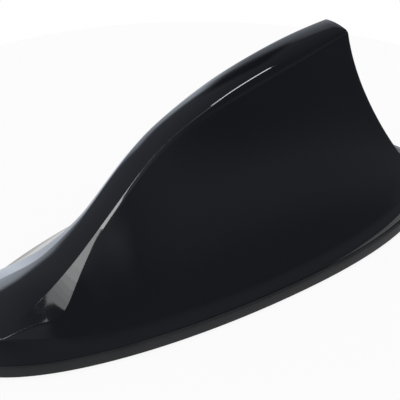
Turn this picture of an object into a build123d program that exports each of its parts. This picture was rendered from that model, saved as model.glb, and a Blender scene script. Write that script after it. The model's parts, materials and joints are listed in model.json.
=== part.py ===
from build123d import *
from math import cos, hypot, radians, sin, sqrt, tan
import os

os.makedirs("parts", exist_ok=True)

# Shark fin roof aerial, in millimetres: +X to the nose, +Y to the car's left, +Z up, roof skin at z = 0.

# Overall form
fin_length = 168.0
fin_width = 66.0
fin_height = 60.0
widest_from_tail = 67.0
peak_from_tail = 32.0
tail_fullness = 0.64

# Moulded cover
wall = 2.2
hip_height = 6.5
hip_bevel = 1.2
crown_radius = 18.0
nose_blunt = 9.0
nose_drop = 3.0
trail_bevel = 0.5
core_roof = 3.2
recess_clear = 1.4
boss_radius = 3.0
spare = 8.0

# Shape of the cross-sections, given for the nose with what the blade and the tail add: angles in degrees
blade_from = 10.0
blade_span = 38.0
thin_from_share = 0.07
thin_span_share = 0.26
lead_angle_growth = 3.4
lead_angles = (34.0, 50.0)
bevel_lean = 4.0
hollow_shares = (0.30, 0.24, 0.06)
flare_angles = (20.0, -6.0, -4.0)
toe_shares = (0.32, 0.20, 0.08)

# Rubber seal round the foot
seal_height = 3.8
seal_lip = 0.8

# Base, ground plate and adhesive pad
pad_thickness = 1.0
plate_thickness = 0.4
pad_fit = 0.2
floor_thickness = 2.4
floor_fit = 0.2
rib_offset = 16.0
rib_length = 80.0
rib_width = 1.4
rib_rise = 1.2
plate_clear = 3.9
plate_width = 40.0
plate_corner = 12.0

# Countersunk self-tapping screws
screw_radius = 1.25
screw_head_radius = 2.5
screw_head_height = 1.5
screw_bite = 6.0
nose_screw_share = 0.735
tail_screw_share = -0.03
hole_play = 0.3
tip_play = 0.6

# Lead gland
gland_radius = 4.0
gland_flange = 5.4
gland_flange_height = 1.2
lead_radius = 1.7
gland_recess = 0.2
gland_share = -0.11

# Amplifier board and the clips that hold it
board_start = 4.0
board_clear = 5.0
board_width = 22.0
board_thickness = 1.6
board_corner = 2.5
board_rise = 3.2
clip_length = 4.0
clip_arm = 1.2
clip_ledge = 1.6
clip_hook = 0.6
clip_play = 0.15

# Upright element board
element_start = 10.0
element_length = 66.0
element_thickness = 1.0
element_cover_gap = 7.0
trace_width = 1.6
trace_thickness = 0.15
trace_margin = 3.0
trace_bars = 9
solder_leg = 1.5
solder_length = 4.0
damper_length = 14.0
damper_depth = 1.5
damper_share = 0.20

# Parts on the amplifier board
can_length = 22.0
can_width = 7.2
can_height = 3.4
can_wall = 0.3
can_offset = 5.8
can_share = 0.38
chip_size = 4.0
chip_height = 1.1
smd_length = 2.0
smd_width = 1.25
smd_height = 0.7
smd_pitch = 5.0
smd_row_offset = 4.0
smd_row_pitch = 3.6
choke_size = 4.8
choke_corner = 1.0
choke_height = 3.2
choke_pitch = 8.0
choke_offset = 5.8
pin_size = 0.8
pin_pitch = 5.0
pin_rise = 2.4
pin_inset = 2.5
spring_width = 4.0
spring_thickness = 0.3
spring_reach = 3.4
spring_share = 0.16

# Positions worked out from the sizes above
tail_x = -fin_length / 2
peak_x = tail_x + peak_from_tail
wide_x = tail_x + widest_from_tail
nose_run = fin_length - peak_from_tail
floor_inset = wall + floor_fit
floor_bottom = pad_thickness + plate_thickness
floor_top = floor_bottom + floor_thickness
recess_top = floor_top + recess_clear
board_bottom = floor_top + board_rise
board_top = board_bottom + board_thickness
board_rear_x = peak_x + board_start
screw_tip = floor_top + screw_bite
element_rear_x = peak_x + element_start
element_nose_x = element_rear_x + element_length

# Stations of the cover: run from peak to nose, height from hip to peak, half width of band, width of bevel
stations = [
    (-0.320, 0.985, 3.6, 1.0),
    (-0.120, 0.996, 3.9, 1.0),
    (-0.060, 0.999, 4.1, 1.0),
    (0.000, 1.000, 4.4, 1.0),
    (0.110, 0.987, 5.0, 1.0),
    (0.220, 0.953, 5.0, 1.0),
    (0.320, 0.903, 4.8, 1.0),
    (0.430, 0.816, 4.3, 1.0),
    (0.530, 0.689, 4.0, 1.0),
    (0.610, 0.523, 3.9, 1.1),
    (0.660, 0.414, 3.7, 1.6),
    (0.710, 0.323, 3.6, 3.2),
    (0.765, 0.242, 3.6, 5.6),
    (0.820, 0.198, 3.8, 7.0),
    (0.870, 0.170, 4.0, 7.4),
    (0.925, 0.121, 4.0, 6.4),
    (0.980, 0.046, 3.6, 4.4),
    (1.020, -0.045, 3.0, 3.0),
]
skin_steps = 24

# Trailing edge seen from the side: shares of the way from peak to tail, and of the height
trail_curve = [(-0.01, 1.035), (0.06, 0.54), (0.605, 0.29), (0.385, 0.10), (1.19, 0.084)]

# Mould core seen from the front, at half its width: in the blade and in the nose
blade_core = [(2.4, 60.0), (4.6, 40.0), (7.5, 30.0), (11.5, 20.0), (16.5, 12.0), (23.0, 5.0), (23.0, 0.0)]
nose_core = [(2.4, 45.0), (4.5, 30.0), (7.0, 20.0), (13.0, 12.0), (14.0, 0.0)]
core_end_share = 0.765


def along(run):
    """Place on the centre line, as a share of the way from the peak to the nose."""
    return peak_x + run * nose_run


def clamped(value):
    """A value held between nought and one."""
    return min(max(value, 0.0), 1.0)


def blended(parts, mix):
    """The sum of the shares of nose, blade and tail."""
    return sum(part * amount for part, amount in zip(parts, mix))


def station_at(run):
    """Ridge share, band and bevel at any run, on a smooth curve through the stations."""
    k = 1
    while k < len(stations) - 2 and run > stations[k + 1][0]:
        k += 1
    p0, p1, p2, p3 = stations[k - 1], stations[k], stations[k + 1], stations[min(k + 2, len(stations) - 1)]
    if run < p1[0]:
        p0, p1, p2, p3 = p0, p0, p1, p2
    step = p2[0] - p1[0]
    t = (run - p1[0]) / step
    values = []
    for c in (1, 2, 3):
        slope1 = (p2[c] - p0[c]) / (p2[0] - p0[0])
        slope2 = (p3[c] - p1[c]) / (p3[0] - p1[0])
        start = (1 + 2 * t) * (1 - t) ** 2 * p1[c] + t * (1 - t) ** 2 * step * slope1
        finish = t * t * (3 - 2 * t) * p2[c] - t * t * (1 - t) * step * slope2
        values.append(start + finish)
    return values


def ridge_at(x):
    """Height of the ridge over the roof skin at a place on the centre line."""
    return hip_height + station_at((x - peak_x) / nose_run)[0] * (fin_height - hip_height)


def half_width_at(x):
    """Half width of the foot: half an ellipse to the nose, and a fuller curve round the tail."""
    half = fin_width / 2 - seal_lip
    if x > wide_x:
        share = min((x - wide_x) / (fin_length - widest_from_tail - seal_lip), 1.0)
        return half * sqrt(1.0 - share * share)
    share = min((wide_x - x) / (widest_from_tail - seal_lip), 1.0)
    low, high = 0.0, 1.0
    while high - low > 1e-9:
        t = (low + high) / 2
        reach = 3 * t * (1 - t) ** 2 * tail_fullness + 3 * t * t * (1 - t) + t**3
        low, high = (t, high) if reach < share else (low, t)
    return half * ((1 - low) ** 3 + 3 * low * (1 - low) ** 2 + 3 * low * low * (1 - low) * tail_fullness)


def foot_face(inset):
    """Plan of the foot of the cover, drawn in by an inset all round."""
    half = fin_width / 2 - seal_lip - inset
    to_nose = fin_length - widest_from_tail - seal_lip - inset
    to_tail = widest_from_tail - seal_lip - inset
    edges = [EllipticalCenterArc((wide_x, 0), to_nose, half, start_angle=-90, arc_size=180)]
    for side in (1, -1):
        start = (wide_x, side * half)
        lead_in = (wide_x - tail_fullness * to_tail, side * half)
        lead_out = (wide_x - to_tail, side * tail_fullness * half)
        edges.append(Bezier(start, lead_in, lead_out, (wide_x - to_tail, 0)))
    return make_face(edges)


def slab(face, z0, z1):
    """A flat plate of a plan face between two heights."""
    return extrude(Pos(0, 0, z0) * face, z1 - z0)


def bevelled_slab(inset0, z0, inset1, z1):
    """A plate of the foot's plan whose side slopes from one inset to another."""
    return loft([Pos(0, 0, z0) * foot_face(inset0), Pos(0, 0, z1) * foot_face(inset1)], ruled=True)


def half_section(run):
    """Control points of half a cross-section: crowned band, bevel, hollow flank and flared foot."""
    share, band, bevel = station_at(run)
    ridge = hip_height + share * (fin_height - hip_height)
    foot_y = hypot(half_width_at(along(run)), nose_blunt)
    foot_z = min(hip_height, ridge - nose_drop)
    rise = ridge - foot_z
    in_blade = clamped((rise - blade_from) / blade_span)
    in_tail = clamped((thin_from_share - run) / thin_span_share)
    mix = (1.0, in_blade, in_tail)

    lead = radians(min(lead_angle_growth * rise, lead_angles[0] + lead_angles[1] * in_blade))
    tilt = lead / 2 + radians(bevel_lean)
    edge = (band, ridge - band * band / (2 * crown_radius))
    crease = (band + bevel * cos(tilt), edge[1] - bevel * sin(tilt))
    fall = rise * blended(hollow_shares, mix)
    hollow = (crease[0] + fall * cos(lead), crease[1] - fall * sin(lead))
    flare = radians(blended(flare_angles, mix))
    toe = (foot_y - band) * blended(toe_shares, mix)
    skirt = (foot_y - toe * cos(flare), foot_z + toe * sin(flare))
    overrun = (foot_y + spare, foot_z - spare * tan(flare))
    return [(0.0, ridge), (band / 2, ridge), edge, crease, hollow, skirt, (foot_y, foot_z), overrun]


def mirrored(points):
    """The left half that goes with a right half, from its far end back to the ridge."""
    return [(-y, z) for y, z in reversed(points)]


def below(points):
    """Straight sides and floor that close a cross-section far under the foot."""
    y, z = points[-1]
    return [Line((y, z), (y, -spare)), Line((y, -spare), (-y, -spare)), Line((-y, -spare), (-y, z))]


def on_station(run, edges):
    """A cross-section set up across the car at its place along the fin."""
    return Plane((along(run), 0, 0), x_dir=(0, 1, 0), z_dir=(1, 0, 0)) * make_face(edges)


def skin_section(run):
    """Cross-section of the outside of the cover."""
    right = half_section(run)
    left = mirrored(right)
    upper = [Bezier(*right[0:3]), Line(right[2], right[3]), Bezier(*right[3:7]), Line(right[6], right[7])]
    lower = [Line(left[0], left[1]), Bezier(*left[1:5]), Line(left[4], left[5]), Bezier(*left[5:8])]
    return on_station(run, upper + below(right) + lower)


def trailing_prism(inset):
    """Everything ahead of the hollow trailing edge."""
    points = [(peak_x - back * peak_from_tail + inset, high * fin_height) for back, high in trail_curve]
    top, low = points[0], points[-1]
    sides = Polyline(low, (low[0], -spare), (fin_length, -spare), (fin_length, top[1]), top)
    side_view = make_face([Bezier(*points), *sides.edges()])
    return extrude(Plane.XZ.offset(-fin_width) * side_view, 2 * fin_width)


def skin_solid():
    """Outer form of the cover: ruled between close cross-sections, trimmed to the trailing edge and the foot."""
    behind = [run for run, *_ in stations if run < 0]
    runs = behind + [k * stations[-1][0] / skin_steps for k in range(skin_steps + 1)]
    body = loft([skin_section(run) for run in runs], ruled=True) & trailing_prism(0.0)
    rear = body.faces().filter_by(GeomType.EXTRUSION)
    corners = [e for e in rear.edges() if e.center().Z > hip_height and e.length > peak_from_tail / 2]
    body = chamfer(corners, trail_bevel)
    body = body & slab(foot_face(0.0), seal_height, fin_height + spare)
    bevel_foot = hip_height - hip_bevel / 2
    bevel_top = bevel_foot + 3 * hip_bevel
    sloped = bevelled_slab(0.0, bevel_foot, 3 * hip_bevel, bevel_top)
    return body - (slab(foot_face(-seal_lip), bevel_foot, bevel_top) - sloped)


def core_wedge(half, profile):
    """A wedge of the mould core: half its front view, cut by its side view."""
    front = make_face(Polyline(*half, *mirrored(half), close=True))
    return extrude(Plane.YZ * front, fin_length, both=True) & extrude(
        Plane.XZ.offset(-fin_width) * make_face(profile), 2 * fin_width
    )


def cavity_solid():
    """Hollow of the cover, open at the foot: a recess, a wedge up into the blade and one into the nose."""
    recess = slab(foot_face(wall), -spare, recess_top)
    roof_runs = [-0.02, 0.10, 0.24, 0.38, 0.50]
    roof = [(along(run), ridge_at(along(run)) - core_roof) for run in roof_runs]
    rear, knee = roof[0], roof[-1]
    rear_sides = Polyline(knee, (knee[0], 0.0), (rear[0], 0.0), rear)
    blade = core_wedge(blade_core, [Spline(*roof), *rear_sides.edges()]) & trailing_prism(wall)
    end_x = along(core_end_share)
    nose_sides = Polyline((knee[0], 0.0), knee, (end_x, recess_top), (end_x, 0.0), close=True)
    return recess + blade + core_wedge(nose_core, nose_sides.edges())


def rod(x, y, radius, z0, z1):
    """An upright round bar."""
    return Pos(x, y, z0) * Cylinder(radius, z1 - z0, align=(Align.CENTER, Align.CENTER, Align.MIN))


def block(x, y, z0, size_x, size_y, size_z):
    """A box standing on a height, centred on a place."""
    return Pos(x, y, z0) * Box(size_x, size_y, size_z, align=(Align.CENTER, Align.CENTER, Align.MIN))


def countersink(x, y):
    """A screw head, and the hollow for it in the floor."""
    upward = (Align.CENTER, Align.CENTER, Align.MIN)
    return Pos(x, y, floor_bottom) * Cone(screw_head_radius, screw_radius, screw_head_height, align=upward)


def screw(x, y):
    """A countersunk self-tapping screw from below, flush with the underside of the floor."""
    return countersink(x, y) + rod(x, y, screw_radius, floor_bottom + screw_head_height, screw_tip)


def group(solids):
    """Separate solids kept together as one node."""
    return Compound(children=list(solids))


nose_screw_x = along(nose_screw_share)
screw_spots = [(nose_screw_x, 0.0), (along(tail_screw_share), 0.0)]
gland_x = along(gland_share)
spring_x = along(spring_share)
damper_x = along(damper_share)
can_x = along(can_share)
board_nose_x = nose_screw_x - boss_radius - board_clear
board_length = board_nose_x - board_rear_x
board_mid_x = (board_nose_x + board_rear_x) / 2

# Cover: moulded skin with two screw bosses
cavity = cavity_solid()
outer = skin_solid()
fin_shell = outer - cavity
for x, y in screw_spots:
    fin_shell += rod(x, y, boss_radius, floor_top, fin_height) & outer
for x, y in screw_spots:
    fin_shell -= rod(x, y, screw_radius, 0.0, screw_tip + tip_play)
export_step(fin_shell, "parts/fin_shell.step")

# Seal: a ring under the foot of the cover, with a bevelled lip that stands out all round
shoulder = seal_height - seal_lip
rim_seal = slab(foot_face(-seal_lip), 0.0, shoulder)
rim_seal += bevelled_slab(-seal_lip, shoulder, 0.0, seal_height)
rim_seal -= slab(foot_face(floor_inset), -1.0, seal_height + 1.0)
export_step(rim_seal, "parts/rim_seal.step")

# Base: floor with two ribs, four board clips, screw holes and the hole for the gland
base_plate = slab(foot_face(floor_inset), floor_bottom, floor_top)
clip_spots = [(board_mid_x + end * board_length / 3, side) for end in (1, -1) for side in (1, -1)]
for side in (1, -1):
    base_plate += block(board_mid_x, side * rib_offset, floor_top, rib_length, rib_width, rib_rise)
for x, side in clip_spots:
    edge = board_width / 2
    arm_y = side * (edge + clip_play + clip_arm / 2)
    ledge_y = side * (edge + clip_play - clip_ledge / 2)
    hook_y = side * (edge + clip_play - clip_hook / 2)
    arm_height = board_top + clip_play + clip_hook - floor_top
    base_plate += block(x, arm_y, floor_top, clip_length, clip_arm, arm_height)
    base_plate += block(x, ledge_y, floor_top, clip_length, clip_ledge, board_rise)
    base_plate += block(x, hook_y, board_top + clip_play, clip_length, clip_hook, clip_hook)
for x, y in screw_spots:
    base_plate -= countersink(x, y)
    base_plate -= rod(x, y, screw_radius, floor_bottom, floor_top)
base_plate -= rod(gland_x, 0, gland_radius, 0.0, board_bottom)
slot_length = spring_reach + 2 * hole_play
slot_width = spring_width + 2 * hole_play
base_plate -= block(spring_x + spring_reach / 2, 0, 0.0, slot_length, slot_width, board_bottom)
export_step(base_plate, "parts/base_plate.step")

# Adhesive pad, and the steel ground plate let into its upper side
plate_rear_x = gland_x + gland_radius + plate_clear
plate_nose_x = nose_screw_x + boss_radius
plate_x = (plate_nose_x + plate_rear_x) / 2
ground_plate = block(plate_x, 0, pad_thickness, plate_nose_x - plate_rear_x, plate_width, plate_thickness)
ground_plate = chamfer(ground_plate.edges().filter_by(Axis.Z), plate_corner)
export_step(ground_plate, "parts/ground_plate.step")
adhesive_pad = slab(foot_face(floor_inset + pad_fit), 0.0, floor_bottom) - ground_plate
adhesive_pad -= rod(gland_x, 0, gland_radius, -1.0, floor_top)
export_step(adhesive_pad, "parts/adhesive_pad.step")

# Gland: rubber bush with a flange on the floor
lead_gland = rod(gland_x, 0, gland_radius, gland_recess, floor_top)
lead_gland += rod(gland_x, 0, gland_flange, floor_top, floor_top + gland_flange_height)
lead_gland -= rod(gland_x, 0, lead_radius, 0.0, board_bottom)
export_step(lead_gland, "parts/lead_gland.step")

# Screws that hold the cover to the base
base_screws = group(screw(x, y) for x, y in screw_spots)
export_step(base_screws, "parts/base_screws.step")

# Amplifier board
circuit_board = block(board_mid_x, 0, board_bottom, board_length, board_width, board_thickness)
circuit_board = chamfer(circuit_board.edges().filter_by(Axis.Z), board_corner)
pin_spots = [(board_rear_x + pin_inset, side * pin_pitch / 2) for side in (1, -1)]
for x, y in pin_spots:
    circuit_board -= block(x, y, floor_top, pin_size, pin_size, board_top)
export_step(circuit_board, "parts/circuit_board.step")
pin_length = pin_rise + board_thickness + pin_size
pin_foot = board_bottom - pin_size
lead_pins = group(block(x, y, pin_foot, pin_size, pin_size, pin_length) for x, y in pin_spots)
export_step(lead_pins, "parts/lead_pins.step")

# Upright element board, its top edge following the ridge
spread = [element_rear_x + element_length * k / 4 for k in range(5)]
crest = [(x, ridge_at(x) - element_cover_gap) for x in spread]
sides = Polyline(crest[-1], (element_nose_x, board_top), (element_rear_x, board_top), crest[0])
element_face = make_face([*Polyline(*crest).edges(), *sides.edges()])
element_board = extrude(Plane.XZ.offset(-element_thickness / 2) * element_face, element_thickness)
export_step(element_board, "parts/element_board.step")

# Copper meander on the left face of the element board
bar_pitch = (element_length - 2 * trace_margin) / (trace_bars - 1)
trace_y = (element_thickness + trace_thickness) / 2
trace_low = board_top + trace_margin
bars = [element_rear_x + trace_margin + k * bar_pitch for k in range(trace_bars)]
top_gap = element_cover_gap + trace_margin
tops = [ridge_at(bars[min(k - k % 2 + 1, trace_bars - 1)]) - top_gap for k in range(trace_bars)]
element_trace = block(bars[0], trace_y, board_top, trace_width, trace_thickness, trace_margin)
for k in range(trace_bars):
    element_trace += block(bars[k], trace_y, trace_low, trace_width, trace_thickness, tops[k] - trace_low)
for k in range(trace_bars - 1):
    level = trace_low if k % 2 else tops[k] - trace_width
    middle = (bars[k] + bars[k + 1]) / 2
    element_trace += block(middle, trace_y, level, bar_pitch + trace_width, trace_thickness, trace_width)
export_step(element_trace, "parts/element_trace.step")

# Solder fillets on both sides of the foot of the element board
wedge = Polyline((0, 0), (solder_leg, 0), (0, solder_leg), close=True)
solder = Pos(-solder_length / 2, 0, 0) * extrude(Plane.YZ * make_face(wedge), solder_length)
solder_spots = [element_rear_x + element_length * share for share in (0.2, 0.5, 0.8)]
element_solder = group(
    Pos(x, side * element_thickness / 2, board_top) * Rot(0, 0, 90 - 90 * side) * solder
    for x in solder_spots
    for side in (1, -1)
)
export_step(element_solder, "parts/element_solder.step")

# Foam between the element board and the roof of the cover
damper_low = ridge_at(damper_x) - element_cover_gap - damper_depth
damper_foam = block(damper_x, 0, damper_low, damper_length, fin_width, fin_height) & cavity
damper_foam -= element_board
export_step(damper_foam, "parts/damper_foam.step")

# Screening can with the chip under it
shield_can = block(can_x, can_offset, board_top, can_length, can_width, can_height)
inside = (can_length - 2 * can_wall, can_width - 2 * can_wall, can_height - can_wall)
shield_can -= block(can_x, can_offset, board_top, *inside)
export_step(shield_can, "parts/shield_can.step")
amplifier_chip = block(can_x, can_offset, board_top, chip_size, chip_size, chip_height)
export_step(amplifier_chip, "parts/amplifier_chip.step")

# Small parts in two rows, and two chokes
for row, name in enumerate(("chip_resistors", "chip_capacitors")):
    row_y = -smd_row_offset - row * smd_row_pitch
    spots = [can_x - can_length / 2 - k * smd_pitch for k in range(3)]
    parts = group(block(x, row_y, board_top, smd_length, smd_width, smd_height) for x in spots)
    export_step(parts, f"parts/{name}.step")
choke_coils = group(
    chamfer(
        block(can_x + k * choke_pitch, -choke_offset, board_top, choke_size, choke_size, choke_height)
        .edges()
        .filter_by(Axis.Z),
        choke_corner,
    )
    for k in (0, 1)
)
export_step(choke_coils, "parts/choke_coils.step")

# Spring strip from the underside of the board to the ground plate
spring_back_x = spring_x + spring_thickness / 2
spring_height = board_bottom - floor_bottom
ground_spring = block(spring_back_x, 0, floor_bottom, spring_thickness, spring_width, spring_height)
for z in (floor_bottom, board_bottom - spring_thickness):
    ground_spring += block(spring_x + spring_reach / 2, 0, z, spring_reach, spring_width, spring_thickness)
export_step(ground_spring, "parts/ground_spring.step")
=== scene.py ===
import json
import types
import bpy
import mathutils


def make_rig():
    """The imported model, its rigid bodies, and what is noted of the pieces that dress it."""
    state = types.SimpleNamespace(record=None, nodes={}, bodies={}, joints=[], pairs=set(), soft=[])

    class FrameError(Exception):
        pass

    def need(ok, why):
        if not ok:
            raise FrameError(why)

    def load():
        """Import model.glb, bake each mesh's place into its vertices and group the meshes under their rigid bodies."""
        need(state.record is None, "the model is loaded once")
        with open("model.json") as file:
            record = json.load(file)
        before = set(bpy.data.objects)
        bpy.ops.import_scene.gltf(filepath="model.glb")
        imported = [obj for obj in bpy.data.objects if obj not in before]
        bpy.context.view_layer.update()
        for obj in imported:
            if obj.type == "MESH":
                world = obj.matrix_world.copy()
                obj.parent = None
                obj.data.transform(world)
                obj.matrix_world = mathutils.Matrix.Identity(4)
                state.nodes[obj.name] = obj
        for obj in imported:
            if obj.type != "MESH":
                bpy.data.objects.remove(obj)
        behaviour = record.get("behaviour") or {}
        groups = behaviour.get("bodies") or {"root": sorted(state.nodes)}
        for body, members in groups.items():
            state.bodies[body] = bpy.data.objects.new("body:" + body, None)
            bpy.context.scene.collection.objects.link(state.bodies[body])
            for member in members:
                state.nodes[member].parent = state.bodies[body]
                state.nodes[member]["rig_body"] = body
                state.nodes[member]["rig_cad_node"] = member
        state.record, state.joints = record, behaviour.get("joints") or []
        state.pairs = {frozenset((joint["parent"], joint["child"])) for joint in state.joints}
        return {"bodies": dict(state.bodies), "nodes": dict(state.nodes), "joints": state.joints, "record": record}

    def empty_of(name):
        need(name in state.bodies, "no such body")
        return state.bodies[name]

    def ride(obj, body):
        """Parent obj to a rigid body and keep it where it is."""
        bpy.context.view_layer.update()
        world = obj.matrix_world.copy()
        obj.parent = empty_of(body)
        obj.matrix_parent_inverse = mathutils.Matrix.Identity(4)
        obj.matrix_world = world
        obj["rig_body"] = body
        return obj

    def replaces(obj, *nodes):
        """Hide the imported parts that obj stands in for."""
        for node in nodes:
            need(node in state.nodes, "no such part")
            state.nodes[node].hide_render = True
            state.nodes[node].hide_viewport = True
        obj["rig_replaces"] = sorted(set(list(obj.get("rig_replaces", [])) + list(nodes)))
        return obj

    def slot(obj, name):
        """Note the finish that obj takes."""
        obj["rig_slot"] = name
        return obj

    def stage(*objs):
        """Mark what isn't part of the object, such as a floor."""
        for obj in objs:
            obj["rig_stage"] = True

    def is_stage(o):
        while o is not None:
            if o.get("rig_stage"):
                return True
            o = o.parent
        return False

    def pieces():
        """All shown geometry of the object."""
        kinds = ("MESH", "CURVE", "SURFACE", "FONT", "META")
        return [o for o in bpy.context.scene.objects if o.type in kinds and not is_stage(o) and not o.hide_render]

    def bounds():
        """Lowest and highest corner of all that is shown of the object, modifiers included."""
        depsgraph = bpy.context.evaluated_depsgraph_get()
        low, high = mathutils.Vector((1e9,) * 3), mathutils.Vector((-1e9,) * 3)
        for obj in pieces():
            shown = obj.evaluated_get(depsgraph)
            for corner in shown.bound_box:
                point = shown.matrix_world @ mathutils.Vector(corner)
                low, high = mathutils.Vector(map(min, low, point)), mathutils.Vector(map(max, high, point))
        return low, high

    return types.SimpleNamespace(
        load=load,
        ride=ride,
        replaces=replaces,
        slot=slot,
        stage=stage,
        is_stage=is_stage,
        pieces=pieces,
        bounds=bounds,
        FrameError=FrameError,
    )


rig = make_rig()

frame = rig.load()

import json
from bisect import bisect_right
from math import asin, copysign, cos, hypot, pi, radians, sin, sqrt

import bmesh
import bpy
from bpy.props import FloatProperty, FloatVectorProperty, IntProperty, PointerProperty
from mathutils import Euler, Vector

bl_info = {
    "name": "Shark fin aerial",
    "version": (1, 0, 0),
    "blender": (4, 5, 0),
    "location": "3D View > Sidebar > Fin aerial",
    "description": "Dresses the solids of a roof aerial with a smooth cover, a rubber seal and finishes",
    "category": "Object",
}

CAD_BOX = [list(corner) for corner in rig.bounds()]
BODY = "root"
MM = 0.001

# Stations of the cover: run from peak to nose and height from hip to peak, as shares, then in millimetres
# the half width of the band along the spine, the width of the bevel beside it and the rounding of its creases
STATIONS = [
    (-0.320, 0.985, 3.6, 1.0, 0.30),
    (-0.120, 0.996, 3.9, 1.0, 0.30),
    (-0.060, 0.999, 4.1, 1.0, 0.30),
    (0.000, 1.000, 4.4, 1.0, 0.30),
    (0.110, 0.987, 5.0, 1.6, 0.60),
    (0.220, 0.953, 5.0, 1.9, 0.80),
    (0.320, 0.903, 4.8, 1.7, 0.70),
    (0.430, 0.816, 4.3, 1.0, 0.20),
    (0.530, 0.689, 4.0, 1.0, 0.08),
    (0.610, 0.523, 3.9, 1.1, 0.20),
    (0.660, 0.414, 3.9, 1.4, 0.25),
    (0.710, 0.323, 4.5, 2.8, 0.25),
    (0.765, 0.242, 5.4, 5.8, 0.20),
    (0.820, 0.198, 7.2, 7.4, 0.06),
    (0.870, 0.170, 8.6, 4.2, 0.03),
    (0.925, 0.121, 8.2, 2.2, 0.03),
    (0.980, 0.046, 6.2, 1.2, 0.03),
    (1.020, -0.045, 4.4, 1.0, 0.03),
]

# Control points of the trailing edge seen from the side: distance behind the peak as a share of the tail
# behind it, and height as a share of the peak's
TRAIL_CURVE = [(-0.01, 1.035), (0.06, 0.54), (0.605, 0.29), (0.385, 0.10), (1.19, 0.084)]

# Hollow for the boards: its half width at each height, and two points of its sloping front, in millimetres
CORE = [
    (5.2, 22.0), (8.0, 19.5), (12.0, 16.0), (20.0, 11.0),
    (30.0, 7.2), (40.0, 4.4), (48.0, 3.4), (53.0, 2.6),
]
CORE_TOE = Vector((52.0, CORE[0][0]))
CORE_KNEE = Vector((9.0, 40.0))

# Cuts along the trailing face, as shares of its half width: close to the edges, so that it stays flat between
FACE_CUTS = (0.985, 0.94, 0.5, 0.0, -0.5, -0.94, -0.985)

# Vertices nearer than the first are joined, and edges shorter than the second dissolved, in metres
WELD, SLIVER = 2e-6, 1e-7

# Camera of the photo: its place in metres and its turn in degrees
EYE = (0.2712, 0.3355, 0.2995)
EYE_TURN = (57.0, 0.0, 141.0)

# Key lamp over the nose: where each panel starts along X, and its share of the lamp's radiance
KEY_PANELS = [(-0.14, 0.49), (-0.03, 0.56), (0.05, 0.63), (0.15, 0.76), (0.28, 0.92), (0.42, 1.0)]
KEY_END = 0.70
LAMP_HEIGHT = 1.0

# Sides of the key lamp in Y, where its near side starts to flare along X, and how much it flares
KEY_SIDES = (-0.047, 0.062)
KEY_FLARE_START, KEY_FLARE = 0.10, 0.16

# Lamps beside it, by two corners in X and Y, and how much stronger the one at the nose is
NOSE_LAMP = ((0.70, -0.065), (0.92, 0.22))
NOSE_LAMP_GAIN = 1.6
STRIP_LAMP = ((-0.40, -0.24), (-0.09, -0.115))

# Colour of the plain light from all round
FILL_TINT = (0.98, 0.99, 1.0)

# Ways across the glowing surround of the stage: away from the camera, to its right, and up
SURROUND_WAYS = {"away": (-0.694, -0.720, 0.0), "right": (-0.777, 0.629, 0.0), "up": (0.0, 0.0, 1.0)}

# Glow of the bare surround, its radius in metres and the brightest that it can glow
SURROUND_GLOW_BASE, SURROUND_RADIUS, SURROUND_GLOW_MOST = 0.13, 2.0, 3.5

# Painted reflections in the surround's glow: brighter patches, by brightness and the spans over which each
# comes in along a way, and a dark flag painted into the glow
SURROUND_GLOW_PATCHES = [
    (0.12, [("up", -0.20, 0.10), ("up", 0.75, 0.15)]),
    (0.26, [("right", 0.25, -0.60), ("up", -0.10, 0.20)]),
    (0.30, [("away", 0.35, 0.80), ("up", 0.60, 0.56)]),
    (0.30, [("away", 0.35, 0.80), ("up", 0.60, 0.56), ("up", 0.60, 0.10)]),
    (2.20, [("away", 0.38, 0.50), ("right", -0.15, -0.35), ("up", 0.60, 0.50)]),
    (0.25, [("away", -0.25, -0.55), ("right", 0.55, 0.30), ("up", 0.40, 0.60)]),
]
# Dark flag: where the glow is painted darker, and how much darker
SURROUND_FLAG_DEPTH = 0.8
SURROUND_DARK_FLAG = [
    ("away", 0.58, 0.68),
    ("away", 0.88, 0.80),
    ("right", -0.34, -0.22),
    ("right", 0.02, -0.06),
    ("up", 0.40, 0.50),
]


def size(name, text, default):
    """A length that a user may change, in metres."""
    return FloatProperty(name=name, description=text, default=default, unit="LENGTH", subtype="DISTANCE")


def share(name, text, default):
    """A share between nought and one."""
    return FloatProperty(name=name, description=text, default=default, min=0.0, max=1.0, subtype="FACTOR")


def tint(name, text, default):
    """A colour in linear light."""
    limits = {"size": 3, "min": 0.0, "max": 1.0}
    return FloatVectorProperty(name=name, description=text, default=default, subtype="COLOR", **limits)


def number(name, text, default, least=0.0):
    """A plain number with a lower limit."""
    return FloatProperty(name=name, description=text, default=default, min=least)


def whole(name, text, default, least):
    """A whole number with a lower limit."""
    return IntProperty(name=name, description=text, default=default, min=least)


class FinCoverSettings(bpy.types.PropertyGroup):
    """Sizes and finish of the moulded cover."""

    length: size("Length", "Overall length over the seal", CAD_BOX[1][0] - CAD_BOX[0][0])
    width: size("Width", "Overall width over the seal", CAD_BOX[1][1] - CAD_BOX[0][1])
    height: size("Height", "Height of the peak over the roof", CAD_BOX[1][2] - CAD_BOX[0][2])
    peak: size("Peak", "Distance from the tail to the peak", 32.0 * MM)
    widest: size("Widest place", "Distance from the tail to the widest place", 67.0 * MM)
    fullness: share("Tail fullness", "How square the outline turns at the tail", 0.64)
    hip: size("Hip height", "Height of the foot of the flanks", 6.5 * MM)
    crown: size("Crown radius", "Radius of the band along the spine", 18.0 * MM)
    blunt: size("Nose bluntness", "How wide the sections stay at the nose", 9.0 * MM)
    crease_round: share("Crease rounding", "How much of their rounding the creases get", 1.0)
    trail_round: size("Trailing rounding", "Rounding of the trailing corners", 0.38 * MM)
    hip_round: size("Hip rounding", "Rounding of the edge round the foot", 2.4 * MM)
    wall: size("Wall", "Thickness at the foot", 2.2 * MM)
    rows: whole("Rows", "Cross-sections from trailing edge to nose", 110, 20)
    colour: tint("Colour", "Gloss black", (0.0056, 0.0062, 0.0086))
    roughness: share("Roughness", "Blur of the gloss", 0.055)


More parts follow.
